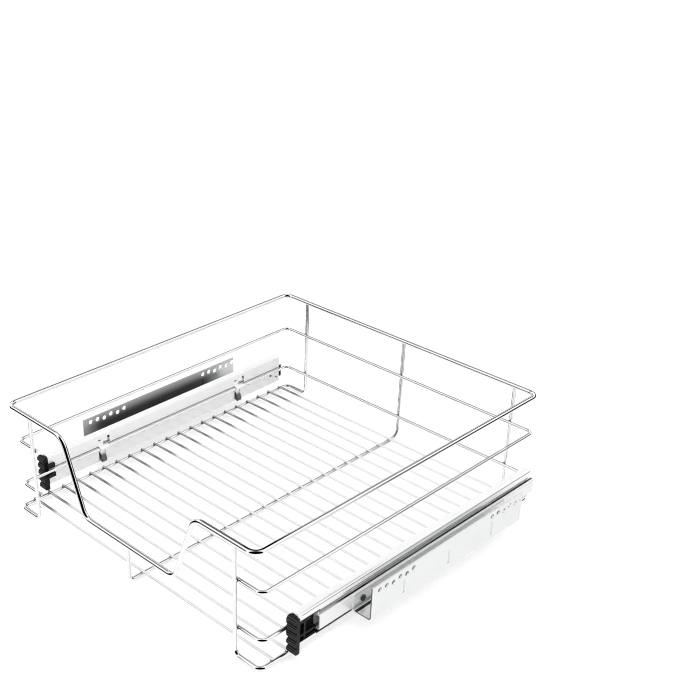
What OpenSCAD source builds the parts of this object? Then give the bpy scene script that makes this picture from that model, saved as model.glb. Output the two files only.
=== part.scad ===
// Pull-out wire basket for a 500 mm kitchen base cabinet.
// +Z is up, the open front with the hand dip faces -Y, and the origin is at the bottom centre.
// Every piece of the right side is drawn once and mirrored for the left side.

/* [Basket wires] */
// Width of the rim, between wire centres
rim_width = 389; // [340:1:440]
// Depth of the rim, between wire centres
rim_depth = 436; // [420:1:480]
// Height of the rim wire's centre above the underside of the basket
rim_height = 138.4; // [120:0.1:160]
// Diameter of the rim wire
rim_d = 5.5; // [5:0.1:7]
// Diameter of the side and centre frame wires
frame_d = 4.5; // [4:0.1:5]
// Diameter of the two ring wires
ring_d = 4; // [3.5:0.1:4.2]
// Diameter of the floor wires
floor_d = 3.2; // [2.5:0.1:4]
// Height of the upper ring's centre
upper_ring_height = 90.1; // [70:0.1:110]
// Height of the lower ring's centre, which the side profiles hook on to
lower_ring_height = 33.1; // [32.5:0.1:33.5]
// Bend radius of the rim's corners
rim_corner = 10; // [8:1:30]
// Bend radius of the corners of the rings and of the base
ring_corner = 7; // [6:1:20]
// Bend radius where a frame wire turns from upright to floor
frame_bend = 6; // [5:0.5:12]
// Bend radius of the centre wire at the back
centre_back_bend = 14; // [6:1:30]
// Distance of the upright frame wires from the middle
upright_x = 162; // [140:1:170]
// Weld sink of one wire into the next
weld_sink = 0.2; // [0.1:0.05:0.3]
// How far the uprights end below the rim's centre
upright_drop = 1.5; // [1:0.1:2]
// How much thicker a wire is in its bends
bend_swell = 0.02; // [0.01:0.01:0.1]

/* [Front dip] */
// Depth of the hand dip below the rim
dip_depth = 86; // [60:1:95]
// Half width of the dip at the rim
dip_half_top = 104; // [95:1:115]
// Half width of the dip at its bottom
dip_half_bottom = 72; // [50:1:80]
// How far the dip is bent off the middle, to the right
dip_offset = 8; // [-10:0.5:10]
// Bend radius at the top of the dip
dip_top_bend = 18; // [10:1:20]
// Bend radius at the bottom of the dip
dip_bottom_bend = 14; // [10:1:18]

/* [Floor] */
// Number of floor wires
floor_count = 21; // [10:1:22]
// Distance between two floor wires
floor_pitch = 20.1; // [18:0.1:20.4]
// Distance of the first floor wire behind the rim's front
floor_first = 21.7; // [18:0.1:23]

/* [Slides] */
// Thickness of the sheet of the profiles and the fixed rails
sheet = 1.2; // [1:0.1:1.4]
// Height of the underside of a drawer profile
profile_bottom = 14.2; // [14:0.1:14.4]
// Height of the top of a drawer profile
profile_top = 52.1; // [50:0.1:54]
// Width of a drawer profile
profile_width = 10.5; // [10.3:0.1:10.8]
// Front end of a drawer profile behind the rim's front
profile_front = 45; // [44:0.5:46]
// Rear end of a drawer profile behind the rim's front
profile_rear = 424; // [424:1:430]
// Front end of a fixed rail behind the rim's front
rail_front = 73; // [73:0.5:76]
// Rear end of a fixed rail behind the rim's front
rail_rear = 431; // [430:1:438]
// Height of a fixed rail
rail_height = 17.6; // [17:0.1:18]
// Diameter of the slide balls
ball_d = 3.4; // [3:0.1:3.5]
// Balls in a row
ball_count = 5; // [3:1:5]
// Distance between two balls
ball_pitch = 26.3; // [20:0.1:27]
// Length of a ball cage
cage_length = 146; // [120:1:148]
// Pull of the basket out of the cabinet
slide_travel = 200; // [100:5:200]

/* [Cabinet brackets] */
// Distance between the two faces that are screwed to the cabinet sides
cabinet_width = 464; // [462:1:470]
// Thickness of the bracket's sheet
bracket_sheet = 1.5; // [1.2:0.1:2]
// Length of a bracket
bracket_length = 250; // [240:1:256]
// Front end of a bracket behind the rim's front
bracket_front = 121.8; // [110:0.1:130]
// Height of the underside of a bracket
bracket_bottom = 16.9; // [16.5:0.1:17.2]
// Height of the top edge of the screwed plate
bracket_top = 56.1; // [52:0.1:60]
// Outer radius of the bend between the web and the screwed plate
bracket_bend = 4; // [3:0.5:8]
// Diameter of a screw hole
screw_hole_d = 5.8; // [4:0.1:6]
// Distance between two screw holes along the bracket
hole_pitch = 10.4; // [9:0.1:10.7]
// First screw hole of the front group behind the bracket's front
hole_first = 11.2; // [8:0.1:14]
// Distance between the two groups of screw holes
group_pitch = 184; // [160:1:186]
// Height of the screw holes' middle line
hole_height = 48.8; // [46:0.1:50]
// Height between the two rows of a staggered group
hole_stagger = 1.8; // [1:0.1:3]

/* [Hidden] */
$fn = 48;

bend_reach = 0.3;

// Places along the depth. The uprights stand one wire behind the rim's front and one wire behind its back.
upright_offset = (rim_d + frame_d)/2 - weld_sink;
ring_offset = (ring_d + frame_d)/2 - weld_sink;
overall_depth = rim_d/2 + rim_depth + upright_offset + frame_d/2;
rim_front_y = rim_d/2 - overall_depth/2;
rim_back_y = rim_front_y + rim_depth;
upright_front_y = rim_front_y + upright_offset;
upright_back_y = rim_back_y + upright_offset;
ring_front_y = upright_front_y + ring_offset;
ring_back_y = upright_back_y - ring_offset;

// Places across the width, right side
rim_x = rim_width/2;
base_x = rim_x + 1.5;
web_x = rim_x + ring_d/2;
lip_x = web_x + profile_width;
rail_x = lip_x + sheet + 0.3;
plate_x = cabinet_width/2;

// Heights
base_z = frame_d/2;
upright_top = rim_height - upright_drop;
dip_z = rim_height - dip_depth;
floor_z = frame_d + floor_d/2 - weld_sink;
race_gap = 4;
rail_bottom = profile_bottom + sheet + race_gap;
rail_top = rail_bottom + rail_height;
bead_bottom = rail_top + race_gap;

// Drawer profile: the race under the bead is set in from the lip
race_in_x = web_x + 3.5;
race_set_in = 1;
race_side = 2.6;
race_step = 1;
lip_height = 3.4;
race_bend = 0.8;
bead_bend = 2.6;
web_bend = 2;
lip_bend = 1;

// Ball cage
cage_sheet = 0.8;
cage_gap = 0.4;
cage_bend = 0.8;
cage_x = web_x + sheet + cage_gap;
cage_outer_x = lip_x - sheet - cage_gap;
ball_x = web_x + 6.5;
ball_top_z = rail_top + race_gap/2;
ball_bottom_z = rail_bottom - race_gap/2;
ball_pocket_d = ball_d + 0.2;
stop_play = 1;
cage_front = rail_front + sheet + stop_play + slide_travel/2;
stop_tab = 3;

// Fixed rails and brackets
rail_tip_x = cage_x + cage_sheet + cage_gap;
rail_bend = 1;
wall_bend = 1.5;
bracket_wall_top = 35.5;
// Row of each screw hole in a group: 1 is the upper row, -1 the lower
hole_rows = [1, 1, -1, 1, -1, 1];
rivet_places = [13, 125, 237];
rivet_height = 27;
rivet_d = 4;
rivet_head_d = 7;
rivet_head = 1.2;
rib_places = [49.5, 122, 196];
rib_r = 1.6;
rib_low = 25;
rib_high = 43;

rib_press = 0.5;
rib_close = 1;
rivet_play = 0.1;
stop_length = 8;
stop_wall = 2;

// Hooks that the profiles carry for the lower ring. A hook is cut free by a window above its rear half,
// an upright slot behind it and a small slot above its front end.
hook_places = [117, 341];
hook_width = 13.5;
hook_play = 0.15;
hook_curl = 1;
hook_low = lower_ring_height + ring_d/2 + hook_play + sheet;
window_start = 7.5;
window_length = 10.5;
window_height = 4;
upright_start = 14.3;
upright_width = 3.7;
upright_slot_top = 46;
small_slot = [5, 1.8];
small_slot_low = 42.6;

// Tongue under each hook, pressed out of the web towards the basket and curled back at its end
tongue_start = 2.3;
tongue_width = 6.4;
tongue_sheet = 1;
tongue_root = 28;
tongue_low = 19;
tongue_curl = 14.8;
tongue_end = 17.4;
tongue_out = 4;
tongue_bends = [1.6, 1.4, 1.4];
tongue_window_start = 0.4;
tongue_window_width = 9.8;
tongue_window_low = 16;
tongue_window_top = 28.4;

// Rear end of a drawer profile
rear_hole_d = 4.2;
rear_hole_back = 15.5;
rear_hole_height = 27.5;
rear_slot = [3, 5];
rear_slot_back = 6.5;
rear_slot_low = 19;
cage_stop_in = 4.5;

// Front buffer
nose_front = 38.5;
nose_in = web_x + 0.7;
nose_width = 12;
nose_low = 7;
lobe_r = 3.8;
lobe_pitch = 9;
lobe_count = 5;
lobe_ribs = [-48, -16, 16, 48];
lobe_rib_r = 0.55;
lobe_rib_sink = 0.1;
nose_inset = 2.2;
plug_thick = 3.4;
plug_gap = 0.2;
plug_rear = 64;
plug_low = profile_bottom + sheet + 0.4;
plug_high = bead_bottom - 0.4;
plug_web = 2.3;
plug_post = 54;
plug_shelf = 22.6;
prong_rear = rail_front - 1.2;
prong_low = 17;
jaw_in = rim_x - 1.5;
jaw_front = 42.5;
jaw_rear = 52;
jaw_places = [25, 37.2];
jaw_height = [5, 5.4];
seat_gap = 0.1;
eps = 0.02;

// ---- Outlines of bent sheet ----
function unit(v) = v/norm(v);
function turned(v) = [-v[1], v[0]];
function swept(a) = a > 180 ? a - 360 : a < -180 ? a + 360 : a;

// Points of the arc that rounds the corner at q, between p and r
function corner_arc(p, q, r, radius, steps) =
    let (
        a = unit(p - q),
        b = unit(r - q),
        half = acos(a*b)/2,
        centre = q + unit(a + b)*radius/sin(half),
        start = q + a*radius/tan(half) - centre,
        stop = q + b*radius/tan(half) - centre,
        first = atan2(start[1], start[0]),
        turn = swept(atan2(stop[1], stop[0]) - first)
    )
    [for (i = [0:steps]) centre + radius*[cos(first + turn*i/steps), sin(first + turn*i/steps)]];

// The bent line through points, with the corner at points[i] rounded by radii[i - 1]
function bent_line(points, radii, steps = 5) = [
    points[0],
    for (i = [1:len(points) - 2])
        each corner_arc(points[i - 1], points[i], points[i + 1], radii[i - 1], steps),
    points[len(points) - 1]
];

// Offset of point i of a line to its left, by distance d
function beside(line, i, d) =
    let (
        last = len(line) - 1,
        before = turned(unit(line[max(i, 1)] - line[max(i, 1) - 1])),
        after = turned(unit(line[min(i, last - 1) + 1] - line[min(i, last - 1)]))
    )
    line[i] + (before + after)*d/(1 + before*after);

// Closed outline of a sheet of thickness t along a line
function sheet_outline(line, t) = concat(
    [for (i = [0:len(line) - 1]) beside(line, i, t/2)],
    [for (i = [len(line) - 1:-1:0]) beside(line, i, -t/2)]
);

// Extrudes an outline that is drawn in X and Z, from y0 to y1
module along_y(y0, y1) {
    translate([0, y1, 0])
        rotate([90, 0, 0])
            linear_extrude(y1 - y0)
                children();
}

module mirrored_left() {
    mirror([1, 0, 0])
        children();
}

// ---- Bent wire ----
module rod(a, b, d) {
    v = b - a;
    translate(a)
        rotate([0, acos(v[2]/norm(v)), atan2(v[1], v[0])])
            cylinder(d = d, h = norm(v));
}

// Length that a bend takes from each straight beside it
function bend_set(points, radii, i) =
    i == 0 || i == len(points) - 1
        ? 0
        : radii[i - 1]*tan(acos(unit(points[i] - points[i - 1])*unit(points[i + 1] - points[i]))/2);

// One bend of a wire at point q, coming from p and leaving to r
module bend(p, q, r, radius, d) {
    u = unit(q - p);
    w = unit(r - q);
    turn = acos(u*w);
    inward = unit(w - u);
    centre = q + inward*radius/cos(turn/2);
    ex = unit(q - u*radius*tan(turn/2) - centre);
    ez = cross(ex, u);
    multmatrix([
        [ex[0], u[0], ez[0], centre[0]],
        [ex[1], u[1], ez[1], centre[1]],
        [ex[2], u[2], ez[2], centre[2]],
        [0, 0, 0, 1]
    ])
        rotate_extrude(angle = turn)
            translate([radius, 0])
                circle(d = d);
}

// How far a straight reaches into its bends
function reach(points, i) = i == 0 || i == len(points) - 1 ? 0 : bend_reach;

// A wire of diameter d through points, with the corner at points[i] bent to radii[i - 1].
// A bend is a hair thicker than its straights, as bent wire is.
module bent_wire(points, radii, d) {
    last = len(points) - 1;
    for (i = [1:last]) {
        u = unit(points[i] - points[i - 1]);
        rod(
            points[i - 1] + u*(bend_set(points, radii, i - 1) - reach(points, i - 1)),
            points[i] - u*(bend_set(points, radii, i) - reach(points, i)),
            d
        );
    }
    for (i = [1:last - 1])
        bend(points[i - 1], points[i], points[i + 1], radii[i - 1], d + bend_swell);
}

// ---- Basket ----
// Right half of the rim, where offset is how far the dip is bent towards this side
module rim_half(offset) {
    bent_wire(
        [
            [0, rim_back_y, rim_height],
            [rim_x, rim_back_y, rim_height],
            [rim_x, rim_front_y, rim_height],
            [dip_half_top + offset, rim_front_y, rim_height],
            [dip_half_bottom + offset, rim_front_y, dip_z],
            [0, rim_front_y, dip_z]
        ],
        [rim_corner, rim_corner, dip_top_bend, dip_bottom_bend],
        rim_d
    );
}

module rim_wire() {
    color("gainsboro")
        union() {
            rim_half(dip_offset);
            mirrored_left()
                rim_half(-dip_offset);
        }
}

// A ring goes round three sides and turns in behind the front uprights
module ring_wire(height) {
    end_x = upright_x - frame_d/2;
    color("gainsboro")
        bent_wire(
            [
                [end_x, ring_front_y, height],
                [rim_x, ring_front_y, height],
                [rim_x, ring_back_y, height],
                [-rim_x, ring_back_y, height],
                [-rim_x, ring_front_y, height],
                [-end_x, ring_front_y, height]
            ],
            [for (i = [1:4]) ring_corner],
            ring_d
        );
}

module upper_ring_wire() {
    ring_wire(upper_ring_height);
}

module lower_ring_wire() {
    ring_wire(lower_ring_height);
}

// One wire makes a front upright, one long side of the base and a back upright
module side_frame_wire_right() {
    color("gainsboro")
        bent_wire(
            [
                [upright_x, upright_front_y, upright_top],
                [upright_x, upright_front_y, base_z],
                [base_x, upright_front_y, base_z],
                [base_x, upright_back_y, base_z],
                [upright_x, upright_back_y, base_z],
                [upright_x, upright_back_y, upright_top]
            ],
            [frame_bend, ring_corner, ring_corner, frame_bend],
            frame_d
        );
}

module side_frame_wire_left() {
    mirrored_left()
        side_frame_wire_right();
}

module centre_frame_wire() {
    color("gainsboro")
        bent_wire(
            [
                [0, upright_front_y, dip_z - upright_drop],
                [0, upright_front_y, base_z],
                [0, upright_back_y, base_z],
                [0, upright_back_y, upright_top]
            ],
            [frame_bend, centre_back_bend],
            frame_d
        );
}

module floor_wires() {
    half = base_x + 0.4;
    color("gainsboro")
        for (i = [0:floor_count - 1]) {
            y = rim_front_y + floor_first + i*floor_pitch;
            rod([-half, y, floor_z], [half, y, floor_z], floor_d);
        }
}

// ---- Slides ----
// Line of the drawer profile's sheet: the ball race under the top bead, the web and the bottom lip
function profile_line() =
    let (h = sheet/2)
    bent_line(
        [
            [race_in_x, bead_bottom + h],
            [lip_x - race_set_in - h, bead_bottom + h],
            [lip_x - race_set_in - h, bead_bottom + race_side],
            [lip_x - h, bead_bottom + race_side + race_step],
            [lip_x - h, profile_top - h],
            [web_x + h, profile_top - h],
            [web_x + h, profile_bottom + h],
            [lip_x - h, profile_bottom + h],
            [lip_x - h, profile_bottom + lip_height]
        ],
        [race_bend, race_bend, race_bend, bead_bend, web_bend, lip_bend, lip_bend]
    );

// Hook that holds the lower ring: a finger out of the web, curled over the wire
module ring_hook(y) {
    inner_r = ring_d/2 + hook_play;
    outer_r = inner_r + sheet;
    along_y(y, y + hook_width)
        difference() {
            union() {
                translate([rim_x, lower_ring_height])
                    circle(outer_r);
                translate([rim_x, lower_ring_height + inner_r])
                    square([web_x + sheet - rim_x, sheet]);
            }
            translate([rim_x, lower_ring_height])
                circle(inner_r);
            translate([rim_x, lower_ring_height - outer_r])
                square([outer_r, outer_r + inner_r]);
            translate([rim_x - outer_r, lower_ring_height - outer_r - hook_curl])
                square([2*outer_r, outer_r]);
        }
}

// An opening through the web, from y and z and with its length and height
module web_opening(y, z, size) {
    translate([web_x - sheet, y, z])
        cube([3*sheet, size[0], size[1]]);
}

module hook_openings(y) {
    web_opening(y, small_slot_low, small_slot);
    web_opening(y + window_start, hook_low, [window_length, window_height]);
    web_opening(y + upright_start, hook_low, [upright_width, upright_slot_top - hook_low]);
    web_opening(y + tongue_window_start, tongue_window_low,
        [tongue_window_width, tongue_window_top - tongue_window_low]);
}

// Spring tongue below the hook
module tongue(y) {
    along_y(y, y + tongue_width)
        polygon(sheet_outline(
            bent_line(
                [
                    [web_x + sheet/2, tongue_root + tongue_sheet],
                    [web_x - tongue_out, tongue_low],
                    [web_x - tongue_out, tongue_curl],
                    [web_x - tongue_sheet, tongue_curl],
                    [web_x - tongue_sheet, tongue_end]
                ],
                tongue_bends
            ),
            tongue_sheet
        ));
}

module drawer_profile_right() {
    front = rim_front_y + profile_front;
    rear = rim_front_y + profile_rear;
    color("whitesmoke")
        union() {
            difference() {
                along_y(front, rear)
                    polygon(sheet_outline(profile_line(), sheet));
                for (place = hook_places)
                    hook_openings(rim_front_y + place);
                // Hole and slot at the rear end of the web
                translate([web_x - sheet, rear - rear_hole_back, rear_hole_height])
                    rotate([0, 90, 0])
                        cylinder(d = rear_hole_d, h = 3*sheet);
                web_opening(rear - rear_slot_back, rear_slot_low, rear_slot);
            }
            for (place = hook_places) {
                ring_hook(rim_front_y + place);
                tongue(rim_front_y + place + tongue_start);
            }
            // Tab that stops the ball cage at the rear end
            translate([web_x + cage_stop_in, rear - sheet, bead_bottom - stop_tab + eps])
                cube([stop_tab, sheet, stop_tab]);
        }
}

module drawer_profile_left() {
    mirrored_left()
        drawer_profile_right();
}

// Lobes of a buffer's nose, each with fine ribs across it
module nose_lobes() {
    for (i = [0:lobe_count - 1])
        translate([nose_in, rim_front_y + nose_front + lobe_r, nose_low + lobe_r + i*lobe_pitch])
            rotate([0, 90, 0]) {
                cylinder(r = lobe_r, h = nose_width);
                for (angle = lobe_ribs)
                    rotate([0, 0, angle])
                        translate([0, lobe_rib_sink - lobe_r, 0])
                            cylinder(r = lobe_rib_r, h = nose_width);
            }
}

// Plug inside the profile: a plate with openings and two prongs that reach to the fixed rail
module buffer_plug(front) {
    outside = lip_x - sheet - plug_gap;
    rear = rim_front_y + plug_rear;
    post = rim_front_y + plug_post;
    difference() {
        translate([outside - plug_thick, front, plug_low])
            cube([plug_thick, rear - front, plug_high - plug_low]);
        for (y = [[front + plug_web, post], [post + plug_web, rear + plug_web]])
            for (z = [[plug_low + plug_web, plug_shelf], [plug_shelf + plug_web, plug_high - plug_web]])
                translate([outside - 2*plug_thick, y[0], z[0]])
                    cube([3*plug_thick, y[1] - y[0], z[1] - z[0]]);
    }
    for (z = [plug_shelf, prong_low])
        translate([outside - plug_thick, post, z])
            cube([plug_thick, rim_front_y + prong_rear - post, plug_web]);
}

// Buffer on the front end of a profile: a nose of five lobes, a plug and two jaws that grip the lower ring
module front_buffer_right() {
    front = rim_front_y + nose_front;
    rear = rim_front_y + profile_front - seat_gap;
    jaws = rim_front_y + jaw_front;
    nose_high = nose_low + 2*lobe_r + (lobe_count - 1)*lobe_pitch;
    groove_r = ring_d/2 + hook_play;
    color([0.12, 0.12, 0.13])
        difference() {
            union() {
                intersection() {
                    nose_lobes();
                    translate([nose_in, front - lobe_rib_r, 0])
                        cube([nose_width, rear - front + lobe_rib_r, rim_height]);
                }
                translate([nose_in, front + nose_inset, nose_low + nose_inset])
                    cube([nose_width, rear - front - nose_inset, nose_high - nose_low - 2*nose_inset]);
                buffer_plug(rear - eps);
                // The jaws grow out of the nose and run back along the inner face of the web
                for (i = [0, 1]) {
                    translate([jaw_in, jaws, jaw_places[i]])
                        cube([nose_in - jaw_in + nose_inset, rear - jaws, jaw_height[i]]);
                    translate([jaw_in, jaws, jaw_places[i]])
                        cube([web_x - seat_gap - jaw_in, rim_front_y + jaw_rear - jaws, jaw_height[i]]);
                }
            }
            // Groove that snaps over the lower ring
            along_y(front, rear + profile_front) {
                translate([rim_x, lower_ring_height])
                    circle(groove_r);
                translate([jaw_in - groove_r, lower_ring_height - groove_r])
                    square([rim_x - jaw_in + groove_r, 2*groove_r]);
            }
        }
}

module front_buffer_left() {
    mirrored_left()
        front_buffer_right();
}

// Cage of both ball rows of a slide: a sheet bent round the fixed rail's open side
module ball_cage_right() {
    h = cage_sheet/2;
    front = rim_front_y + cage_front;
    color("darkgray")
        difference() {
            along_y(front, front + cage_length)
                polygon(sheet_outline(
                    bent_line(
                        [
                            [cage_outer_x, ball_top_z],
                            [cage_x + h, ball_top_z],
                            [cage_x + h, ball_bottom_z],
                            [cage_outer_x, ball_bottom_z]
                        ],
                        [cage_bend, cage_bend]
                    ),
                    cage_sheet
                ));
            for (i = [0:ball_count - 1])
                translate([ball_x, ball_y(i), ball_bottom_z - ball_d/2])
                    cylinder(d = ball_pocket_d, h = ball_top_z - ball_bottom_z + ball_d);
        }
}

function ball_y(i) =
    rim_front_y + cage_front + cage_length/2 + (i - (ball_count - 1)/2)*ball_pitch;

module ball_cage_left() {
    mirrored_left()
        ball_cage_right();
}

module cage_balls_right() {
    color("dimgray")
        for (i = [0:ball_count - 1])
            for (z = [ball_top_z, ball_bottom_z])
                translate([ball_x, ball_y(i), z])
                    sphere(d = ball_d);
}

module cage_balls_left() {
    mirrored_left()
        cage_balls_right();
}

// Holes of the rivets, through the rail's back and the bracket's wall
module rivet_holes() {
    for (place = rivet_places)
        translate([rail_x - rivet_d, rim_front_y + bracket_front + place, rivet_height])
            rotate([0, 90, 0])
                cylinder(d = rivet_d + rivet_play, h = 2*rivet_d);
}

module cabinet_rail_right() {
    h = sheet/2;
    front = rim_front_y + rail_front;
    color("silver")
        difference() {
            union() {
                along_y(front, rim_front_y + rail_rear)
                    polygon(sheet_outline(
                        bent_line(
                            [
                                [rail_tip_x, rail_top - h],
                                [rail_x - h, rail_top - h],
                                [rail_x - h, rail_bottom + h],
                                [rail_tip_x, rail_bottom + h]
                            ],
                            [rail_bend, rail_bend]
                        ),
                        sheet
                    ));
                // Tab that stops the ball cage at the front end
                translate([ball_x + seat_gap, front, rail_top - eps])
                    cube([stop_tab, sheet, stop_tab]);
            }
            rivet_holes();
        }
}

module cabinet_rail_left() {
    mirrored_left()
        cabinet_rail_right();
}

// Channel between the fixed rail and the cabinet side
module mounting_bracket_right() {
    h = bracket_sheet/2;
    front = rim_front_y + bracket_front;
    color("gainsboro")
        difference() {
            union() {
                along_y(front, front + bracket_length)
                    polygon(sheet_outline(
                        bent_line(
                            [
                                [rail_x + h, bracket_wall_top],
                                [rail_x + h, bracket_bottom + h],
                                [plate_x - h, bracket_bottom + h],
                                [plate_x - h, bracket_top]
                            ],
                            [wall_bend, bracket_bend - h],
                            8
                        ),
                        bracket_sheet
                    ));
                for (place = rib_places)
                    translate([plate_x - bracket_sheet, front + place, rib_low])
                        cylinder(r = rib_r, h = rib_high - rib_low);
            }
            // Each rib is pressed in from the outside
            for (place = rib_places)
                translate([plate_x + rib_press, front + place, rib_low + rib_close])
                    cylinder(r = rib_r, h = rib_high - rib_low - 2*rib_close);
            for (group = [0, 1], i = [0:len(hole_rows) - 1])
                translate([
                    plate_x - 2*bracket_sheet,
                    front + hole_first + group*group_pitch + i*hole_pitch,
                    hole_height + hole_rows[i]*hole_stagger/2
                ])
                    rotate([0, 90, 0])
                        cylinder(d = screw_hole_d, h = 4*bracket_sheet);
            rivet_holes();
        }
}

module mounting_bracket_left() {
    mirrored_left()
        mounting_bracket_right();
}

// Rivets that join each bracket to its rail
module bracket_rivets_right() {
    inside = rail_x - sheet;
    outside = rail_x + bracket_sheet;
    color("gray")
        for (place = rivet_places)
            translate([0, rim_front_y + bracket_front + place, rivet_height])
                rotate([0, 90, 0]) {
                    translate([0, 0, inside - rivet_head])
                        cylinder(d = rivet_head_d - 1, h = rivet_head);
                    translate([0, 0, inside - eps])
                        cylinder(d = rivet_d, h = outside - inside + 2*eps);
                    translate([0, 0, outside])
                        cylinder(d = rivet_head_d, h = rivet_head);
                }
}

module bracket_rivets_left() {
    mirrored_left()
        bracket_rivets_right();
}

// Plastic plug in the rear end of each fixed rail
module rail_end_stop_right() {
    front = rim_front_y + rail_rear - stop_length;
    low = rail_bottom + sheet + seat_gap;
    deep = rail_x - sheet - seat_gap - rail_tip_x;
    high = rail_height - 2*sheet - 2*seat_gap;
    color([0.12, 0.12, 0.13])
        difference() {
            translate([rail_tip_x, front, low])
                cube([deep, stop_length - seat_gap, high]);
            // Hollow that the plug is moulded round
            translate([rail_tip_x - eps, front + stop_wall, low + stop_wall])
                cube([deep - stop_wall, stop_length - 2*stop_wall, high - 2*stop_wall]);
        }
}

module rail_end_stop_left() {
    mirrored_left()
        rail_end_stop_right();
}

rim_wire();
upper_ring_wire();
lower_ring_wire();
side_frame_wire_left();
side_frame_wire_right();
centre_frame_wire();
floor_wires();
drawer_profile_left();
drawer_profile_right();
front_buffer_left();
front_buffer_right();
ball_cage_left();
ball_cage_right();
cage_balls_left();
cage_balls_right();
cabinet_rail_left();
cabinet_rail_right();
mounting_bracket_left();
mounting_bracket_right();
bracket_rivets_left();
bracket_rivets_right();
rail_end_stop_left();
rail_end_stop_right();
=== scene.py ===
import math

import bpy
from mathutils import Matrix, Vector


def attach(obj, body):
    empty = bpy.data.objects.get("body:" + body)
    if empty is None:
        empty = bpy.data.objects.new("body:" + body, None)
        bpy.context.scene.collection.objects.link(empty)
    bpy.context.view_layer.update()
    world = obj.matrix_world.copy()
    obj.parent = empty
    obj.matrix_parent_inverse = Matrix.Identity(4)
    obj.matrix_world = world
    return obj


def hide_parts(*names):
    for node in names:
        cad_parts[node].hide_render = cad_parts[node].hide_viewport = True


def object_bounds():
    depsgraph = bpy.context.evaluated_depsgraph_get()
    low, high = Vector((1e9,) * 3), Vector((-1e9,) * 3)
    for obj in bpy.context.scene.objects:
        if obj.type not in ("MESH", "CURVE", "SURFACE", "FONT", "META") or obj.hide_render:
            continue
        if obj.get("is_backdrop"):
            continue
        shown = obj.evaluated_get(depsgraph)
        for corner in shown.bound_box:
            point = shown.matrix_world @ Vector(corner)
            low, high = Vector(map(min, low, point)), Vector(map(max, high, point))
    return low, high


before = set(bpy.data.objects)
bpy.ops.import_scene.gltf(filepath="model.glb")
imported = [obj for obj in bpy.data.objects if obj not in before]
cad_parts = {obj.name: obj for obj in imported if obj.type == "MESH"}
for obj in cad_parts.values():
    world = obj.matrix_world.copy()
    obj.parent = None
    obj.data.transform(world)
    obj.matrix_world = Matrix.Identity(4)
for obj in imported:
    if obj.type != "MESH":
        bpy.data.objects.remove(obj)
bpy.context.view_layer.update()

# ---- Camera ----
# The photograph is a long-lens view from the right of the front, 31 degrees above the table. It is
# framed off centre, which the lens shift repeats.
LOOK_DOWN = 30.778
LOOK_TURN = 46.064
LENS = 60.40
FRAME_SHIFT = 1 / 7
scene = bpy.context.scene
camera = bpy.data.objects.new("camera", bpy.data.cameras.new("camera"))
scene.collection.objects.link(camera)
camera.location = (0.80285, -0.81325, 0.75348)
camera.rotation_euler = (math.radians(90 - LOOK_DOWN), 0, math.radians(LOOK_TURN))
camera.data.sensor_width = 36
camera.data.lens = LENS
camera.data.shift_x = FRAME_SHIFT
camera.data.shift_y = FRAME_SHIFT
camera.data.clip_start = 0.05
camera.data.clip_end = 20
scene.camera = camera

# ---- Studio ----
# A white table under a white tent. The tent is open where the camera stands, and the dark room shows
# above its back wall and past the table's edges too. Chrome shows these gaps as its thin dark lines.
scene.view_settings.view_transform = "Standard"
scene.cycles.filter_width = 1.0


def nodes_of(tree):
    """A function that adds nodes to a tree. An input goes by its label, or by _ and its number."""

    def add(kind, settings=None, **inputs):
        node = tree.nodes.new(kind)
        for name, value in (settings or {}).items():
            setattr(node, name, value)
        for name, value in inputs.items():
            label = int(name[1:]) if name[1:].isdigit() else name.replace("_", " ")
            socket = node.inputs[label]
            if isinstance(value, bpy.types.NodeSocket):
                tree.links.new(value, socket)
            else:
                socket.default_value = value
        return node

    return add


def calculator(add):
    """A function that adds a Math node and gives its result."""

    def calculate(operation, first, second=0.0):
        return add("ShaderNodeMath", {"operation": operation}, _0=first, _1=second).outputs[0]

    return calculate


world = bpy.data.worlds.new("tent")
scene.world = world
world.use_nodes = True
world.node_tree.nodes.clear()
add = nodes_of(world.node_tree)
calculate = calculator(add)
direction = add("ShaderNodeSeparateXYZ", Vector=add("ShaderNodeTexCoord").outputs["Generated"])
degree = math.radians(1)
bearing = calculate("ARCTAN2", direction.outputs[1], direction.outputs[0])
height = calculate("ARCSINE", direction.outputs[2])


EDGE_BLUR = 2


def between(value, low, high):
    """1 from low to high, with soft edges, all in degrees."""
    rise = add("ShaderNodeMapRange", {"interpolation_type": "SMOOTHSTEP"}, _0=value,
               _1=(low - EDGE_BLUR) * degree, _2=(low + EDGE_BLUR) * degree)
    fall = add("ShaderNodeMapRange", {"interpolation_type": "SMOOTHSTEP"}, _0=value,
               _1=(high - EDGE_BLUR) * degree, _2=(high + EDGE_BLUR) * degree, _3=1.0, _4=0.0)
    return calculate("MULTIPLY", rise.outputs[0], fall.outputs[0])


# Each dark part of the studio: its first and last bearing and its lowest and highest point, in
# degrees, and how dark it is
DARK_PARTS = [
    (-98, 12, -26, 40, 1.0),  # the opening for the camera
    (-92, 6, 38, 87, 1.0),  # the roof over the camera
    (84, 121, 33, 61, 0.97),  # the gap over the back wall, in three parts
    (119, 190, 36, 60, 0.85),
    (-190, -165, 36, 57, 0.7),
    (104, 166, -22, 20, 0.7),  # past the table's back edge
    (-170, -134, -29, 10, 1.0),  # past its left edge
    (-136, -121, -30, 13, 0.95),
    (40, 116, -27, 11, 1.0),  # past its right edge
    (26, 42, -24, 5, 0.3),
    (-10, 34, -50, -30, 0.3),  # a greyer patch of the table in front
]
light = None
for left, right, low, high, dark in DARK_PARTS:
    shade = calculate("MULTIPLY", between(bearing, left, right), between(height, low, high))
    passed = calculate("SUBTRACT", 1.0, calculate("MULTIPLY", shade, dark))
    light = passed if light is None else calculate("MULTIPLY", light, passed)
path = add("ShaderNodeLightPath")
TENT_LIGHT = 1.06
ROOM_LIGHT = 1.0
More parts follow.
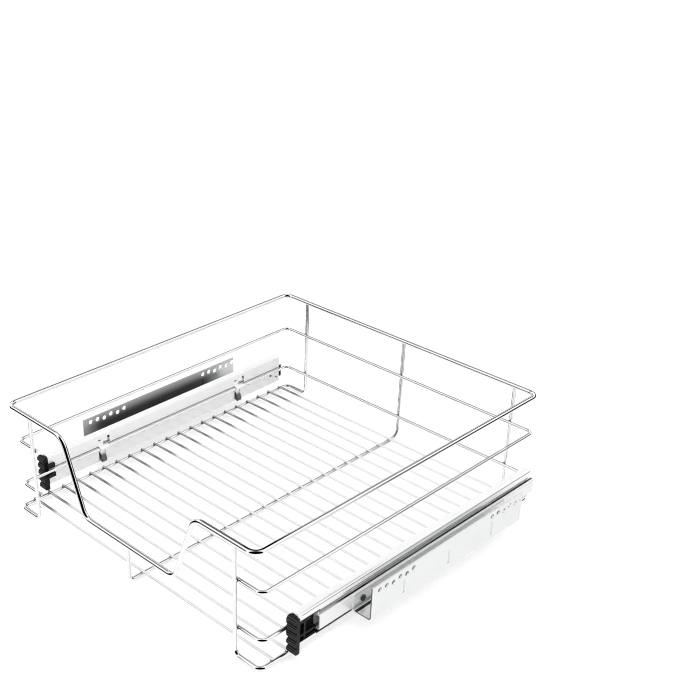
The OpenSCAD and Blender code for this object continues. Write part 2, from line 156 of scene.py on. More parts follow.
tent = add("ShaderNodeBackground", Strength=calculate("MULTIPLY", light, TENT_LIGHT))
room = add("ShaderNodeBackground", Strength=ROOM_LIGHT)
white = add("ShaderNodeBackground", Strength=1.0)
for background in (tent, room, white):
    background.inputs["Color"].default_value = (1, 1, 1, 1)
seen_in_metal = calculate("MAXIMUM", path.outputs["Is Glossy Ray"], path.outputs["Is Transmission Ray"])
mixed = add("ShaderNodeMixShader", _0=seen_in_metal, _1=room.outputs[0], _2=tent.outputs[0])
mixed = add("ShaderNodeMixShader", _0=path.outputs["Is Camera Ray"], _1=mixed.outputs[0], _2=white.outputs[0])
add("ShaderNodeOutputWorld", Surface=mixed.outputs[0])

TABLE_SIZE = 12.0
TABLE_WHITE = 0.80
TABLE_LIFT = 0.36
TABLE_DROP = 0.0004
bpy.ops.mesh.primitive_plane_add(size=TABLE_SIZE, location=(0, 0, -TABLE_DROP))
table = bpy.context.object
table.name = "table"
table.visible_glossy = False
table_paint = bpy.data.materials.new("table_paint")
table_paint.use_nodes = True
table_paint.node_tree.nodes.clear()
add = nodes_of(table_paint.node_tree)
calculate = calculator(add)
path = add("ShaderNodeLightPath")
matt = add("ShaderNodeBsdfDiffuse")
matt.inputs["Color"].default_value = (TABLE_WHITE, TABLE_WHITE, TABLE_WHITE, 1)
glow = add("ShaderNodeEmission", Strength=calculate("MULTIPLY", path.outputs["Is Camera Ray"], TABLE_LIFT))
both = add("ShaderNodeAddShader", _0=matt.outputs[0], _1=glow.outputs[0])
add("ShaderNodeOutputMaterial", Surface=both.outputs[0])
table.data.materials.append(table_paint)
table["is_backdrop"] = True

# Each lamp: its name, place, size and power
LAMPS = [
    ("overhead_lamp", (0.1, 0.1, 1.6), 1.8, 5.0),
    ("left_lamp", (-1.4, -0.9, 1.0), 1.2, 2.0),
    ("right_lamp", (1.3, 0.9, 1.1), 1.2, 2.0),
]
for name, place, size, power in LAMPS:
    lamp = bpy.data.objects.new(name, bpy.data.lights.new(name, "AREA"))
    lamp.data.size = size
    lamp.data.energy = power
    lamp.location = place
    lamp.rotation_euler = (-lamp.location).to_track_quat("-Z", "Y").to_euler()
    lamp.visible_glossy = False
    lamp.visible_camera = False
    scene.collection.objects.link(lamp)

# ---- Chrome plate ----
# Every wire of the basket is drawn steel wire, and the basket is welded and then chromed as one piece.
# The plate is a mirror with a faint haze. It is thinner and duller on the floor and burnt at the welds.
GRAIN_SCALE = 14.0
CLOUD_SCALE = 35.0
CLOUD_TONE = 0.05
RELIEF = 0.0002
MIRROR = 0.01


def finish(name, colour, metal, roughness, haze=0.02, grain=(60, 60, 60), bump=0.0, spots=0.0):
    """A surface whose gloss and tone change a little from place to place."""
    material = bpy.data.materials.new(name)
    material.use_nodes = True
    shader = material.node_tree.nodes["Principled BSDF"]
    add = nodes_of(material.node_tree)
    place = add("ShaderNodeTexCoord").outputs["Object"]
    stretched = add("ShaderNodeMapping", Vector=place, Scale=grain).outputs[0]
    fine = add("ShaderNodeTexNoise", Vector=stretched, Scale=GRAIN_SCALE, Detail=5.0, Roughness=0.6)
    broad = add("ShaderNodeTexNoise", Vector=place, Scale=CLOUD_SCALE, Detail=3.0)
    gloss = add("ShaderNodeMapRange", _0=fine.outputs[0], _1=0.3, _2=0.7,
                _3=max(roughness - haze, MIRROR), _4=roughness + haze)
    material.node_tree.links.new(gloss.outputs[0], shader.inputs["Roughness"])
    tone = add("ShaderNodeValToRGB", _0=broad.outputs[0])
    dark = tuple(c * (1 - CLOUD_TONE - spots) for c in colour)
    tone.color_ramp.elements[0].position = 0.36
    tone.color_ramp.elements[0].color = (*dark, 1)
    tone.color_ramp.elements[1].position = 0.58
    tone.color_ramp.elements[1].color = (*colour, 1)
    material.node_tree.links.new(tone.outputs[0], shader.inputs["Base Color"])
    shader.inputs["Metallic"].default_value = metal
    if bump:
        relief = add("ShaderNodeBump", Height=fine.outputs[0], Strength=bump, Distance=RELIEF)
        material.node_tree.links.new(relief.outputs[0], shader.inputs["Normal"])
    return material


chrome = finish("chrome_plate", (0.93, 0.935, 0.94), 1.0, 0.03, haze=0.015, bump=0.01)
floor_chrome = finish("floor_chrome", (0.99, 0.99, 0.99), 0.6, 0.36, haze=0.05, spots=-0.04)
weld_chrome = finish("weld_chrome", (0.2, 0.202, 0.206), 1.0, 0.16, haze=0.06, bump=0.25, spots=0.08)

# ---- Rim wire ----
# One 5.5 mm wire goes round the top, with its ends butt-welded at the back. At the front it is bent
# down into the dip that a hand reaches through. Its dip isn't quite in the middle, as in the photograph.
mm = 0.001
RIM_X = 194.5
RIM_FRONT = -220.15
RIM_BACK = 215.85
RIM_Z = 138.4
RIM_WIRE = 5.5
RIM_CORNER = 10
DIP_OFFSET = 8
DIP_TOP = 104
DIP_BOTTOM = 72
DIP_Z = RIM_Z - 86
DIP_TOP_BEND = 18
DIP_BOTTOM_BEND = 14
CRISP = (0.05, 0.05, 0.05)


def inside(material, across, along, heights, sides, soft):
    """1 inside a box and 0 outside it, with edges as soft as soft says.

    The box lies in millimetres from the middle, behind the rim's front and up, where None is no end.
    """
    add = nodes_of(material.node_tree)
    calculate = calculator(add)
    place = add("ShaderNodeSeparateXYZ", Vector=add("ShaderNodeTexCoord").outputs["Object"])
    if sides == "both":
        out = calculate("ABSOLUTE", place.outputs[0])
    else:
        out = calculate("MULTIPLY", place.outputs[0], 1.0 if sides == "right" else -1.0)
    behind = calculate("SUBTRACT", place.outputs[1], RIM_FRONT * mm)
    amount = 1.0
    values = (out, behind, place.outputs[2])
    for value, ends, fade in zip(values, (across, along, heights), soft):
        for edge, start, end in zip(ends, (0.0, 1.0), (1.0, 0.0)):
            if edge is not None:
                step = add("ShaderNodeMapRange", {"interpolation_type": "SMOOTHSTEP"}, _0=value,
                           _1=(edge - fade) * mm, _2=(edge + fade) * mm, _3=start, _4=end)
                amount = calculate("MULTIPLY", step.outputs[0], amount)
    return amount


NO_END = (None, None)


def covered(material, colour, across=NO_END, along=NO_END, heights=NO_END, sides="both", soft=CRISP):
    """Colours what lies in a box."""
    add = nodes_of(material.node_tree)
    amount = inside(material, across, along, heights, sides, soft)
    shader = material.node_tree.nodes["Principled BSDF"]
    tone = shader.inputs["Base Color"].links[0].from_socket
    mixed = add("ShaderNodeMix", {"data_type": "RGBA"}, _0=amount, _6=tone, _7=(*colour, 1))
    material.node_tree.links.new(mixed.outputs[2], shader.inputs["Base Color"])


def refinished(material, metal, roughness, across=NO_END, along=NO_END, heights=NO_END, sides="both",
               soft=CRISP):
    """Gives what lies in a box another share of metal and another roughness."""
    add = nodes_of(material.node_tree)
    amount = inside(material, across, along, heights, sides, soft)
    shader = material.node_tree.nodes["Principled BSDF"]
    share = add("ShaderNodeMix", _0=amount, _2=shader.inputs["Metallic"].default_value, _3=metal)
    material.node_tree.links.new(share.outputs[0], shader.inputs["Metallic"])
    gloss = shader.inputs["Roughness"].links[0].from_socket
    mixed = add("ShaderNodeMix", _0=amount, _2=gloss, _3=roughness)
    material.node_tree.links.new(mixed.outputs[0], shader.inputs["Roughness"])


def new_tree(name, **inputs):
    """A Geometry Nodes tree with named inputs, and a function that adds its nodes."""
    tree = bpy.data.node_groups.new(name, "GeometryNodeTree")
    tree.interface.new_socket("Geometry", in_out="INPUT", socket_type="NodeSocketGeometry")
    tree.interface.new_socket("Geometry", in_out="OUTPUT", socket_type="NodeSocketGeometry")
    for label, kind in inputs.items():
        tree.interface.new_socket(label.replace("_", " "), in_out="INPUT", socket_type="NodeSocket" + kind)
    return tree, nodes_of(tree), tree.nodes.new("NodeGroupInput")


def grown(name, mesh, tree, **values):
    """A piece that a tree grows from a mesh, as a plain mesh."""
    piece = bpy.data.objects.new(name, mesh)
    scene.collection.objects.link(piece)
    modifier = piece.modifiers.new(tree.name, "NODES")
    modifier.node_group = tree
    for label, value in values.items():
        socket = tree.interface.items_tree[label.replace("_", " ")]
        modifier[socket.identifier] = value
    evaluated = piece.evaluated_get(bpy.context.evaluated_depsgraph_get())
    result = bpy.data.meshes.new_from_object(evaluated)
    piece.modifiers.clear()
    piece.data = result
    result.name = name
    return piece


SHARP_EDGE = 0.7


def close_tree(tree, add, geometry, material):
    """Ends a tree with sharp ends, smooth sides and one plain mesh of one material."""
    whole = add("GeometryNodeRealizeInstances", Geometry=geometry)
    angle = add("GeometryNodeInputMeshEdgeAngle")
    sharp = add("FunctionNodeCompare", {"operation": "GREATER_THAN"}, _0=angle.outputs[0], _1=SHARP_EDGE)
    smooth = add("GeometryNodeSetShadeSmooth", Geometry=whole.outputs[0])
    edges = add("GeometryNodeSetShadeSmooth", {"domain": "EDGE"}, Geometry=smooth.outputs[0],
                Selection=sharp.outputs[0])
    edges.inputs["Shade Smooth"].default_value = False
    painted = add("GeometryNodeSetMaterial", Geometry=edges.outputs[0], Material=material)
    out = tree.nodes.new("NodeGroupOutput")
    tree.links.new(painted.outputs[0], out.inputs[0])


wire_tree, add, given = new_tree(
    "bent wire", Diameter="Float", Bend_steps="Int", Sides="Int", Material="Material")
line = add("GeometryNodeMeshToCurve", Mesh=given.outputs["Geometry"])
bend = add("GeometryNodeInputNamedAttribute", {"data_type": "FLOAT"}, Name="bend")
rounded = add("GeometryNodeFilletCurve", {"mode": "POLY"}, Curve=line.outputs[0],
              Count=given.outputs["Bend steps"], Radius=bend.outputs[0])
half = add("ShaderNodeMath", {"operation": "MULTIPLY"}, _0=given.outputs["Diameter"], _1=0.5)
section = add("GeometryNodeCurvePrimitiveCircle", Resolution=given.outputs["Sides"], Radius=half.outputs[0])
tube = add("GeometryNodeCurveToMesh", Curve=rounded.outputs[0], Profile_Curve=section.outputs[0],
           Fill_Caps=True)
close_tree(wire_tree, add, tube.outputs[0], given.outputs["Material"])


BEND_STEPS = 9


def bent_wire(name, nodes, points, bends, diameter, closed=False, sides=20):
    """A wire through points, in millimetres, with each corner bent to its own radius."""
    mesh = bpy.data.meshes.new(name)
    edges = [(i, i + 1) for i in range(len(points) - 1)]
    if closed:
        edges.append((len(points) - 1, 0))
    mesh.from_pydata([[c * mm for c in point] for point in points], edges, [])
    radius = mesh.attributes.new("bend", "FLOAT", "POINT")
    radius.data.foreach_set("value", [r * mm for r in bends])
    wire = grown(name, mesh, wire_tree, Diameter=diameter * mm, Bend_steps=BEND_STEPS, Sides=sides,
                 Material=chrome)
    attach(wire, "basket")
    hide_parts(*nodes)


bent_wire(
    "rim", ["rim_wire"],
    [(RIM_X, RIM_FRONT, RIM_Z), (DIP_TOP + DIP_OFFSET, RIM_FRONT, RIM_Z),
     (DIP_BOTTOM + DIP_OFFSET, RIM_FRONT, DIP_Z), (-DIP_BOTTOM + DIP_OFFSET, RIM_FRONT, DIP_Z),
     (-DIP_TOP + DIP_OFFSET, RIM_FRONT, RIM_Z), (-RIM_X, RIM_FRONT, RIM_Z),
     (-RIM_X, RIM_BACK, RIM_Z), (RIM_X, RIM_BACK, RIM_Z)],
    [RIM_CORNER, DIP_TOP_BEND, DIP_BOTTOM_BEND, DIP_BOTTOM_BEND, DIP_TOP_BEND,
     RIM_CORNER, RIM_CORNER, RIM_CORNER], RIM_WIRE, closed=True, sides=28)

# A painted dark reflection along the crest of the rim, on the front's right stretch and round its corner
RIM_CREST = RIM_Z + 2.5
BLACK_LINE = (0.02, 0.02, 0.02)
GREY_LINE = (0.3, 0.3, 0.305)
covered(chrome, GREY_LINE, across=(DIP_TOP + DIP_OFFSET, None), along=(None, 4), heights=(RIM_CREST, None),
        sides="right", soft=(6, 0.5, 0.15))
covered(chrome, BLACK_LINE, across=(RIM_X - 16.5, None), along=(None, 40), heights=(RIM_CREST, None),
        sides="right", soft=(6, 20, 0.15))

# ---- Ring wires ----
# Two 4 mm wires go round three sides and turn in behind the front uprights, where they are welded.
# The slides hook on to the lower one.
FRAME_WIRE = 4.5
RING_WIRE = 4.0
WELD_SINK = 0.2
RING_HEIGHTS = {"upper_ring": 90.1, "lower_ring": 33.1}
UPRIGHT_X = 162
UPRIGHT_FRONT = RIM_FRONT + (RIM_WIRE + FRAME_WIRE) / 2 - WELD_SINK
UPRIGHT_BACK = RIM_BACK + (RIM_WIRE + FRAME_WIRE) / 2 - WELD_SINK
RING_FRONT = UPRIGHT_FRONT + (RING_WIRE + FRAME_WIRE) / 2 - WELD_SINK
RING_BACK = UPRIGHT_BACK - (RING_WIRE + FRAME_WIRE) / 2 + WELD_SINK
RING_CORNER = 7
ring_end = UPRIGHT_X - FRAME_WIRE / 2
for name, height in RING_HEIGHTS.items():
    bent_wire(
        name, [name + "_wire"],
        [(ring_end, RING_FRONT, height), (RIM_X, RING_FRONT, height), (RIM_X, RING_BACK, height),
         (-RIM_X, RING_BACK, height), (-RIM_X, RING_FRONT, height), (-ring_end, RING_FRONT, height)],
        [0, RING_CORNER, RING_CORNER, RING_CORNER, RING_CORNER, 0], RING_WIRE)

# ---- Frame wires ----
# On each side one 4.5 mm wire makes a front upright, a long side of the base and a back upright. A
# third one runs down the middle. The basket stands on them.
BASE_X = 196
BASE_Z = FRAME_WIRE / 2
TIP_DROP = 1.5
UPRIGHT_TOP = RIM_Z - TIP_DROP
FRAME_BEND = 6
CENTRE_BEND = 14
for side, s in (("left", -1), ("right", 1)):
    bent_wire(
        f"side_frame_{side}", [f"side_frame_wire_{side}"],
        [(s * UPRIGHT_X, UPRIGHT_FRONT, UPRIGHT_TOP), (s * UPRIGHT_X, UPRIGHT_FRONT, BASE_Z),
         (s * BASE_X, UPRIGHT_FRONT, BASE_Z), (s * BASE_X, UPRIGHT_BACK, BASE_Z),
         (s * UPRIGHT_X, UPRIGHT_BACK, BASE_Z), (s * UPRIGHT_X, UPRIGHT_BACK, UPRIGHT_TOP)],
        [0, FRAME_BEND, RING_CORNER, RING_CORNER, FRAME_BEND, 0], FRAME_WIRE)
bent_wire(
    "centre_frame", ["centre_frame_wire"],
    [(0, UPRIGHT_FRONT, DIP_Z - TIP_DROP), (0, UPRIGHT_FRONT, BASE_Z),
     (0, UPRIGHT_BACK, BASE_Z), (0, UPRIGHT_BACK, UPRIGHT_TOP)],
    [0, FRAME_BEND, CENTRE_BEND, 0], FRAME_WIRE)

# ---- Floor wires ----
# 21 straight 3.2 mm wires lie across the base and are welded to its three long wires. Their cut ends
# stop just past the outer ones. The plate is brighter at their left ends, where a painted dark reflection
# lies: a black line on top and a darker tone.
FLOOR_COUNT = 21
FLOOR_PITCH = 20.1
FLOOR_FRONT = RIM_FRONT + 21.7
FLOOR_WIRE = 3.2
FLOOR_Z = FRAME_WIRE + FLOOR_WIRE / 2 - WELD_SINK
FLOOR_HALF = BASE_X + 0.4
FLOOR_SIDES = 16
# A painted dark reflection at the left ends: a black line along the top and a darker tone
covered(floor_chrome, BLACK_LINE, across=(BASE_X - 38, None), heights=(FLOOR_Z + 0.65, None), sides="left",
        soft=(9, 0.05, 0.12))
covered(floor_chrome, (0.75, 0.75, 0.755), across=(BASE_X - 26, None), sides="left", soft=(24, 0.05, 0.05))
refinished(floor_chrome, 1.0, 0.06, across=(BASE_X - 33, None), sides="left", soft=(33, 0.05, 0.05))
floor_tree, add, given = new_tree(
    "floor wires", Count="Int", Pitch="Float", Half_length="Float", Diameter="Float", Height="Float",
    First="Float", Material="Material")
first = add("ShaderNodeCombineXYZ", _0=0.0, _1=given.outputs["First"], _2=given.outputs["Height"])
step = add("ShaderNodeCombineXYZ", _0=0.0, _1=given.outputs["Pitch"], _2=0.0)
row = add("GeometryNodeMeshLine", Count=given.outputs["Count"], Start_Location=first.outputs[0],
          Offset=step.outputs[0])
right_end = add("ShaderNodeCombineXYZ", _0=given.outputs["Half length"], _1=0.0, _2=0.0)
left_end = add("ShaderNodeVectorMath", {"operation": "SCALE"}, _0=right_end.outputs[0], Scale=-1.0)
straight = add("GeometryNodeCurvePrimitiveLine", Start=left_end.outputs[0], End=right_end.outputs[0])
half = add("ShaderNodeMath", {"operation": "MULTIPLY"}, _0=given.outputs["Diameter"], _1=0.5)
section = add("GeometryNodeCurvePrimitiveCircle", Resolution=FLOOR_SIDES, Radius=half.outputs[0])
tube = add("GeometryNodeCurveToMesh", Curve=straight.outputs[0], Profile_Curve=section.outputs[0],
           Fill_Caps=True)
placed = add("GeometryNodeInstanceOnPoints", Points=row.outputs[0], Instance=tube.outputs[0])
close_tree(floor_tree, add, placed.outputs[0], given.outputs["Material"])
floor = grown(
    "floor", bpy.data.meshes.new("floor"), floor_tree, Count=FLOOR_COUNT, Pitch=FLOOR_PITCH * mm,
    Half_length=FLOOR_HALF * mm, Diameter=FLOOR_WIRE * mm, Height=FLOOR_Z * mm,
    First=FLOOR_FRONT * mm, Material=floor_chrome)
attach(floor, "basket")
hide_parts("floor_wires")

# ---- Welds ----
# Where two wires cross they are melted together, and the chrome over each weld is a small, rough and
# darker collar.
weld_tree, add, given = new_tree("weld collars", Size="Vector", Material="Material")
facing = add("GeometryNodeInputNamedAttribute", {"data_type": "FLOAT_VECTOR"}, Name="facing")
turned = add("FunctionNodeAlignRotationToVector", {"axis": "Z"}, Vector=facing.outputs[0])
bead = add("GeometryNodeMeshIcoSphere", Radius=1.0, Subdivisions=3)
placed = add("GeometryNodeInstanceOnPoints", Points=given.outputs["Geometry"], Instance=bead.outputs[0],
             Rotation=turned.outputs[0], Scale=given.outputs["Size"])
close_tree(weld_tree, add, placed.outputs[0], given.outputs["Material"])


def welds(name, spots, width, thickness):
    """A collar at each spot, which is a point in millimetres and the way the wires face each other."""
    mesh = bpy.data.meshes.new(name)
    mesh.from_pydata([[c * mm for c in point] for point, facing in spots], [], [])
    attribute = mesh.attributes.new("facing", "FLOAT_VECTOR", "POINT")
    attribute.data.foreach_set("vector", [c for point, facing in spots for c in facing])
    piece = grown(name, mesh, weld_tree, Size=(width / 2 * mm, width / 2 * mm, thickness / 2 * mm),
                  Material=weld_chrome)
    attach(piece, "basket")


UP, ALONG = (0, 0, 1), (0, 1, 0)
END_INSET = 0.6
floor_rows = [FLOOR_FRONT + i * FLOOR_PITCH for i in range(FLOOR_COUNT)]
floor_columns = (-BASE_X + END_INSET, 0, BASE_X - END_INSET)
weld_z = FRAME_WIRE - WELD_SINK / 2
floor_spots = [((x, y, weld_z), UP) for x in floor_columns for y in floor_rows]
welds("floor_welds", floor_spots, width=4.2, thickness=1.7)

front_contact = UPRIGHT_FRONT + FRAME_WIRE / 2 - WELD_SINK / 2
back_contact = UPRIGHT_BACK - FRAME_WIRE / 2 + WELD_SINK / 2
front_columns = (-UPRIGHT_X, UPRIGHT_X)
back_columns = (-UPRIGHT_X, 0, UPRIGHT_X)
ring_spots = []
for height in RING_HEIGHTS.values():
    ring_spots += [((x, front_contact, height), ALONG) for x in front_columns]
    ring_spots += [((x, back_contact, height), ALONG) for x in back_columns]
welds("ring_welds", ring_spots, width=5.0, thickness=2.2)

RIM_WELD_DROP = 2
to_contact = RIM_WIRE / 2 - WELD_SINK / 2
rim_spots = [((x, RIM_FRONT + to_contact, RIM_Z - RIM_WELD_DROP), ALONG) for x in front_columns]
rim_spots += [((x, RIM_BACK + to_contact, RIM_Z - RIM_WELD_DROP), ALONG) for x in back_columns]
rim_spots += [((0, RIM_FRONT + to_contact, DIP_Z - RIM_WELD_DROP), ALONG)]
welds("rim_welds", rim_spots, width=4.8, thickness=2.2)

# ---- Drawer profiles ----
# Rolled zinc-plated sheet, 1.2 mm thick, hooked on the lower ring, with a bead along the top. The plate
# is a soft silver. Painted shade darkens its inside, and lines of painted shade and painted reflection
# run along the bends, the lip and the ring.
PROFILE_IN = 196.5
PROFILE_OUT = 207.0
PROFILE_LOW = 14.2
PROFILE_HIGH = 52.1
SHEET = 1.2
BEAD_START = 50
BEAD_LOW = 42.9
BEAD_CREST = 49.1
RAIL_START = 73
BRACKET_START = 121.8
RING_TOP = RING_HEIGHTS["lower_ring"] + RING_WIRE / 2
TONGUE_BEND = 25.5
CHANNEL_SHADE = (0.22, 0.215, 0.21)
PALE_LINE = (0.55, 0.55, 0.555)
SHADED = (0.12, 0.12, 0.12)


def painted(names, material):
    """Gives these nodes of the frame one material."""
    for name in names:
        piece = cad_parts[name]
        piece.data.materials.clear()
        piece.data.materials.append(material)


def both_sides(name):
    """The names of a pair of pieces."""
    return [f"{name}_left", f"{name}_right"]


zinc = finish("zinc_plated_sheet", (0.98, 0.983, 0.987), 0.2, 0.3, haze=0.01, grain=(30, 2, 30), spots=-0.03)
# Painted shade over the inside, and black painted shade where the rail doesn't reach
covered(zinc, CHANNEL_SHADE, across=(PROFILE_IN + 3, PROFILE_OUT - SHEET - 0.1), along=(RAIL_START + 3, None),
        heights=(PROFILE_LOW + SHEET - 0.1, PROFILE_HIGH - SHEET - 0.1))
covered(zinc, BLACK_LINE, across=(PROFILE_IN + 0.7, PROFILE_OUT - 0.5), along=(None, RAIL_START + 3),
        heights=(PROFILE_LOW + SHEET - 0.1, BEAD_LOW + 0.1))
# The bead: a line of painted dark reflection under it, its duller face, and two lines of painted reflection
# along its upper bend
covered(zinc, BLACK_LINE, across=(PROFILE_OUT - 1.5, None), along=(108, 330),
        heights=(BEAD_LOW, BEAD_LOW + 2.2), soft=(0.05, 8, 0.1))
refinished(zinc, 0.0, 0.3, across=(PROFILE_OUT - SHEET, None), along=(BEAD_START, None),
           heights=(BEAD_LOW - 0.9, BEAD_CREST + 0.4), soft=(0.05, 0.05, 0.2))
covered(zinc, GREY_LINE, across=(PROFILE_OUT - 0.7, None), along=(BEAD_START, None),
        heights=(BEAD_CREST, BEAD_CREST + 0.9), soft=(0.05, 0.05, 0.15))
covered(zinc, PALE_LINE, across=(PROFILE_OUT - 2.2, PROFILE_OUT - 0.7), along=(BEAD_START, 160),
        heights=(BEAD_CREST + 2.1, BEAD_CREST + 2.8), soft=(0.05, 40, 0.1))
# Painted shade under the bottom lip, in a line over the ring, and on the lower part of the left side's
# tongues
covered(zinc, BLACK_LINE, across=(PROFILE_OUT - 2, None), along=(RAIL_START - 3, BRACKET_START),
        heights=(PROFILE_LOW + 1.9, PROFILE_LOW + 3.8))
covered(zinc, BLACK_LINE, across=(PROFILE_IN - 0.5, PROFILE_IN + 0.5), along=(BEAD_START, None),
        heights=(RING_TOP + 0.1, RING_TOP + 1))
covered(zinc, SHADED, across=(PROFILE_IN - 6.5, PROFILE_IN - 0.2), along=(BEAD_START, None),
        heights=(PROFILE_LOW - 0.2, TONGUE_BEND), sides="left", soft=(0.1, 1, 2.5))
painted(both_sides("drawer_profile"), zinc)

# ---- Fixed rails ----
# The same sheet, bent to a channel that is open to the inside. Painted shade darkens its inside, and a
# band of painted shade, from the slot under the bead, runs along its top.
RAIL_TOP = 37.0
SHADE_BAND = (PROFILE_OUT - 2.4, PROFILE_OUT - 0.5)
SHADE_BAND_GREY = (0.1, 0.1, 0.1)
SHADE_BAND_BLACK = (0.006, 0.006, 0.006)
rail_zinc = finish("rail_sheet", (0.93, 0.935, 0.94), 0.3, 0.28, haze=0.01, grain=(30, 2, 30), spots=-0.03)
covered(rail_zinc, CHANNEL_SHADE, across=(None, PROFILE_OUT - 4), heights=(None, RAIL_TOP - 1))
# The band of painted shade along the rail's top: grey, and black in two stretches
for tone, stretch in ((SHADE_BAND_GREY, (100, None)), (SHADE_BAND_BLACK, (110, 145)), (SHADE_BAND_BLACK, (245, None))):
    covered(rail_zinc, tone, across=SHADE_BAND, along=stretch, heights=(RAIL_TOP - 0.8, RAIL_TOP + 0.2),
            soft=(0.1, 6, 0.05))
painted(both_sides("cabinet_rail"), rail_zinc)

# ---- Mounting brackets ----
# Each bracket is a channel of 1.5 mm zinc-plated sheet, punched with two groups of screw holes and
# stiffened by three pressed ribs. Painted shade and a painted dark reflection lie in the channel, and its
# cut edges are dark.
BRACKET_LENGTH = 250
BRACKET_END = BRACKET_START + BRACKET_LENGTH
BRACKET_EDGE = (BRACKET_START - 1, BRACKET_START + 1.4)
BRACKET_FLOOR = 18.4
CHANNEL_IN = 211
CHANNEL_BEND = CHANNEL_IN + 3.4
PLATE_IN = 230.5
PLATE_REFLECTION_DARK = (0.1, 0.102, 0.105)
BEND_SHADE = (0.01, 0.01, 0.01)
PAINTED_LIGHT = (1, 1, 1)
CUT_EDGE = (0.16, 0.16, 0.162)
bracket_plate = finish("bracket_plate", (0.88, 0.885, 0.89), 0.55, 0.25, haze=0.01, grain=(30, 2, 30),
                       spots=-0.03)
# A painted dark reflection on the inside of the left plate, fading towards its ends and its top edge
covered(bracket_plate, PLATE_REFLECTION_DARK, across=(PLATE_IN - 8.5, PLATE_IN + 0.4),
        along=(BRACKET_START + 8, BRACKET_END - 35), heights=(10, 50), sides="left", soft=(0.2, 22, 9.5))
# The channel's floor: painted shade along its inner bend, painted light on the plate at the front, a
# painted shadow by the front rivet and painted shade along the floor's inner edge at the front
covered(bracket_plate, BEND_SHADE, across=(CHANNEL_IN, CHANNEL_BEND),
        along=(BRACKET_START + 28, BRACKET_END), heights=(BRACKET_FLOOR - 1.4, None))
covered(bracket_plate, PAINTED_LIGHT, across=(CHANNEL_BEND + 1.1, PLATE_IN - 0.5), along=(None, BRACKET_START + 40),
        heights=(BRACKET_FLOOR - 1.4, BRACKET_FLOOR + 0.6))
covered(bracket_plate, BLACK_LINE, across=(CHANNEL_IN, CHANNEL_BEND),
        along=(BRACKET_START + 17, BRACKET_START + 26), heights=(BRACKET_FLOOR + 1.6, None),
        soft=(0.05, 2, 3))
covered(bracket_plate, BLACK_LINE, across=(CHANNEL_IN, CHANNEL_BEND + 0.2), along=(None, BRACKET_START + 28),
        heights=(BRACKET_FLOOR - 1.4, BRACKET_FLOOR + 1.5), soft=(0.2, 0.05, 0.3))
# The front's cut edges
covered(bracket_plate, BLACK_LINE, across=(CHANNEL_IN, CHANNEL_BEND), along=BRACKET_EDGE,
        heights=(BRACKET_FLOOR - 1.4, None))
covered(bracket_plate, CUT_EDGE, across=(CHANNEL_IN, None), along=(None, BRACKET_START + 0.1), sides="right")
painted(both_sides("mounting_bracket"), bracket_plate)

# ---- Rivets ----
# Three plain steel rivets on each side, upset in a press, hold the rail to its bracket. Their heads are
# flat, and their bare steel is darker than the plate around them.
rivet_steel = finish("rivet_steel", (0.09, 0.092, 0.096), 1.0, 0.3, haze=0.08, bump=0.2, spots=0.1)
painted(both_sides("bracket_rivets"), rivet_steel)

# ---- Ball cages ----
# A cage of 0.8 mm steel strip keeps the balls apart. It is bright under its film of oil, and blotchy.
cage_steel = finish("oiled_strip", (0.85, 0.85, 0.86), 0.4, 0.3, haze=0.08, grain=(80, 6, 80), bump=0.1,
                    spots=0.12)
painted(both_sides("ball_cage"), cage_steel)

# ---- Balls ----
# Hardened and polished steel balls with a film of grease. Their dark tone is painted shade from the slot
# they roll in. Five in each of a cage's two rows roll between the drawer profile and the rail.
ball_steel = finish("polished_balls", (0.1, 0.1, 0.105), 1.0, 0.12, haze=0.04)
painted(both_sides("cage_balls"), ball_steel)

# ---- End stops ----
# Plugs of black moulded plastic, pressed into the rear ends of the rails. Their skin is fine and
# slightly waxy.
BLACK_PLASTIC = (0.007, 0.007, 0.0075)
SKIN_GLOSS = 0.25
black = finish("black_plastic", BLACK_PLASTIC, 0.0, 0.5, haze=0.08, bump=0.2, spots=0.2)
black.node_tree.nodes["Principled BSDF"].inputs["Specular IOR Level"].default_value = SKIN_GLOSS
painted(both_sides("rail_end_stop"), black)

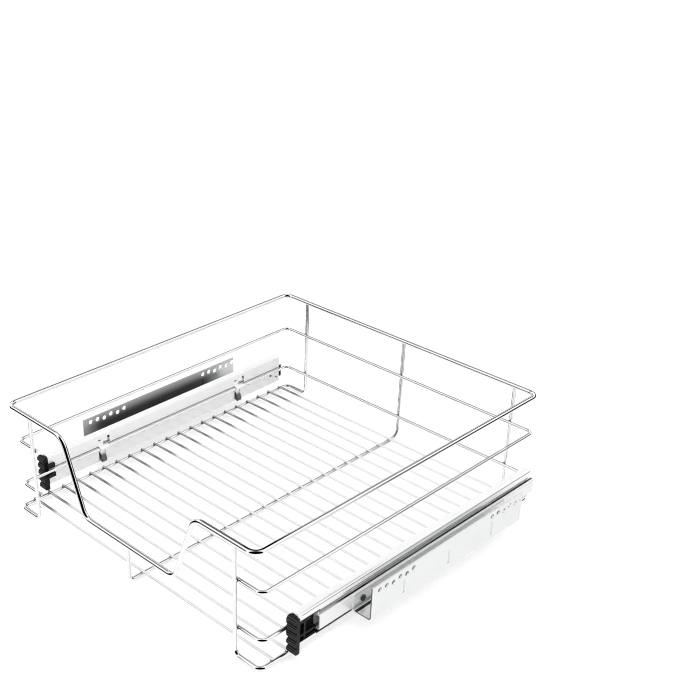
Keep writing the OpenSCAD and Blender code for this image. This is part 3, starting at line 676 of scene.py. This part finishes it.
# ---- Front buffers ----
# The same plastic. A buffer's nose meets the front panel with five round lobes, one above the other, and
# a paler painted highlight lies on the front edge of each lobe.
LOBE_Y = RIM_FRONT + 42.3
LOBE_LOW = 7.0
LOBE_PITCH = 9.0
LOBE_R = 3.8
LOBE_HIGHLIGHT = (0.055, 0.055, 0.057)
LOBE_HIGHLIGHT_RING = (LOBE_R + 0.22, LOBE_R + 0.7)
LOBE_HIGHLIGHT_HALF = 3.5
ribbed = finish("ribbed_plastic", BLACK_PLASTIC, 0.0, 0.5, haze=0.08, bump=0.2, spots=0.2)
add = nodes_of(ribbed.node_tree)
calculate = calculator(add)
place = add("ShaderNodeSeparateXYZ", Vector=add("ShaderNodeTexCoord").outputs["Object"])
back = calculate("SUBTRACT", place.outputs[1], LOBE_Y * mm)
above = calculate("SUBTRACT", place.outputs[2], LOBE_LOW * mm)
rise = calculate("SUBTRACT", calculate("FLOORED_MODULO", above, LOBE_PITCH * mm), LOBE_R * mm)
squares = calculate("ADD", calculate("MULTIPLY", back, back), calculate("MULTIPLY", rise, rise))
reach = calculate("SQRT", squares)
# A painted highlight on a thin ring round the front of each lobe
lobe_highlight = calculate("MULTIPLY", calculate("GREATER_THAN", reach, LOBE_HIGHLIGHT_RING[0] * mm),
                   calculate("LESS_THAN", reach, LOBE_HIGHLIGHT_RING[1] * mm))
lobe_highlight = calculate("MULTIPLY", lobe_highlight, calculate("LESS_THAN", calculate("ABSOLUTE", rise), LOBE_HIGHLIGHT_HALF * mm))
lobe_highlight = calculate("MULTIPLY", lobe_highlight, calculate("LESS_THAN", back, 0.0))
shader = ribbed.node_tree.nodes["Principled BSDF"]
tone = shader.inputs["Base Color"].links[0].from_socket
mixed = add("ShaderNodeMix", {"data_type": "RGBA"}, _0=lobe_highlight, _6=tone, _7=(*LOBE_HIGHLIGHT, 1))
ribbed.node_tree.links.new(mixed.outputs[2], shader.inputs["Base Color"])
shader.inputs["Specular IOR Level"].default_value = SKIN_GLOSS
painted(both_sides("front_buffer"), ribbed)

# ---- Bounds of everything shown ----
low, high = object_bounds()
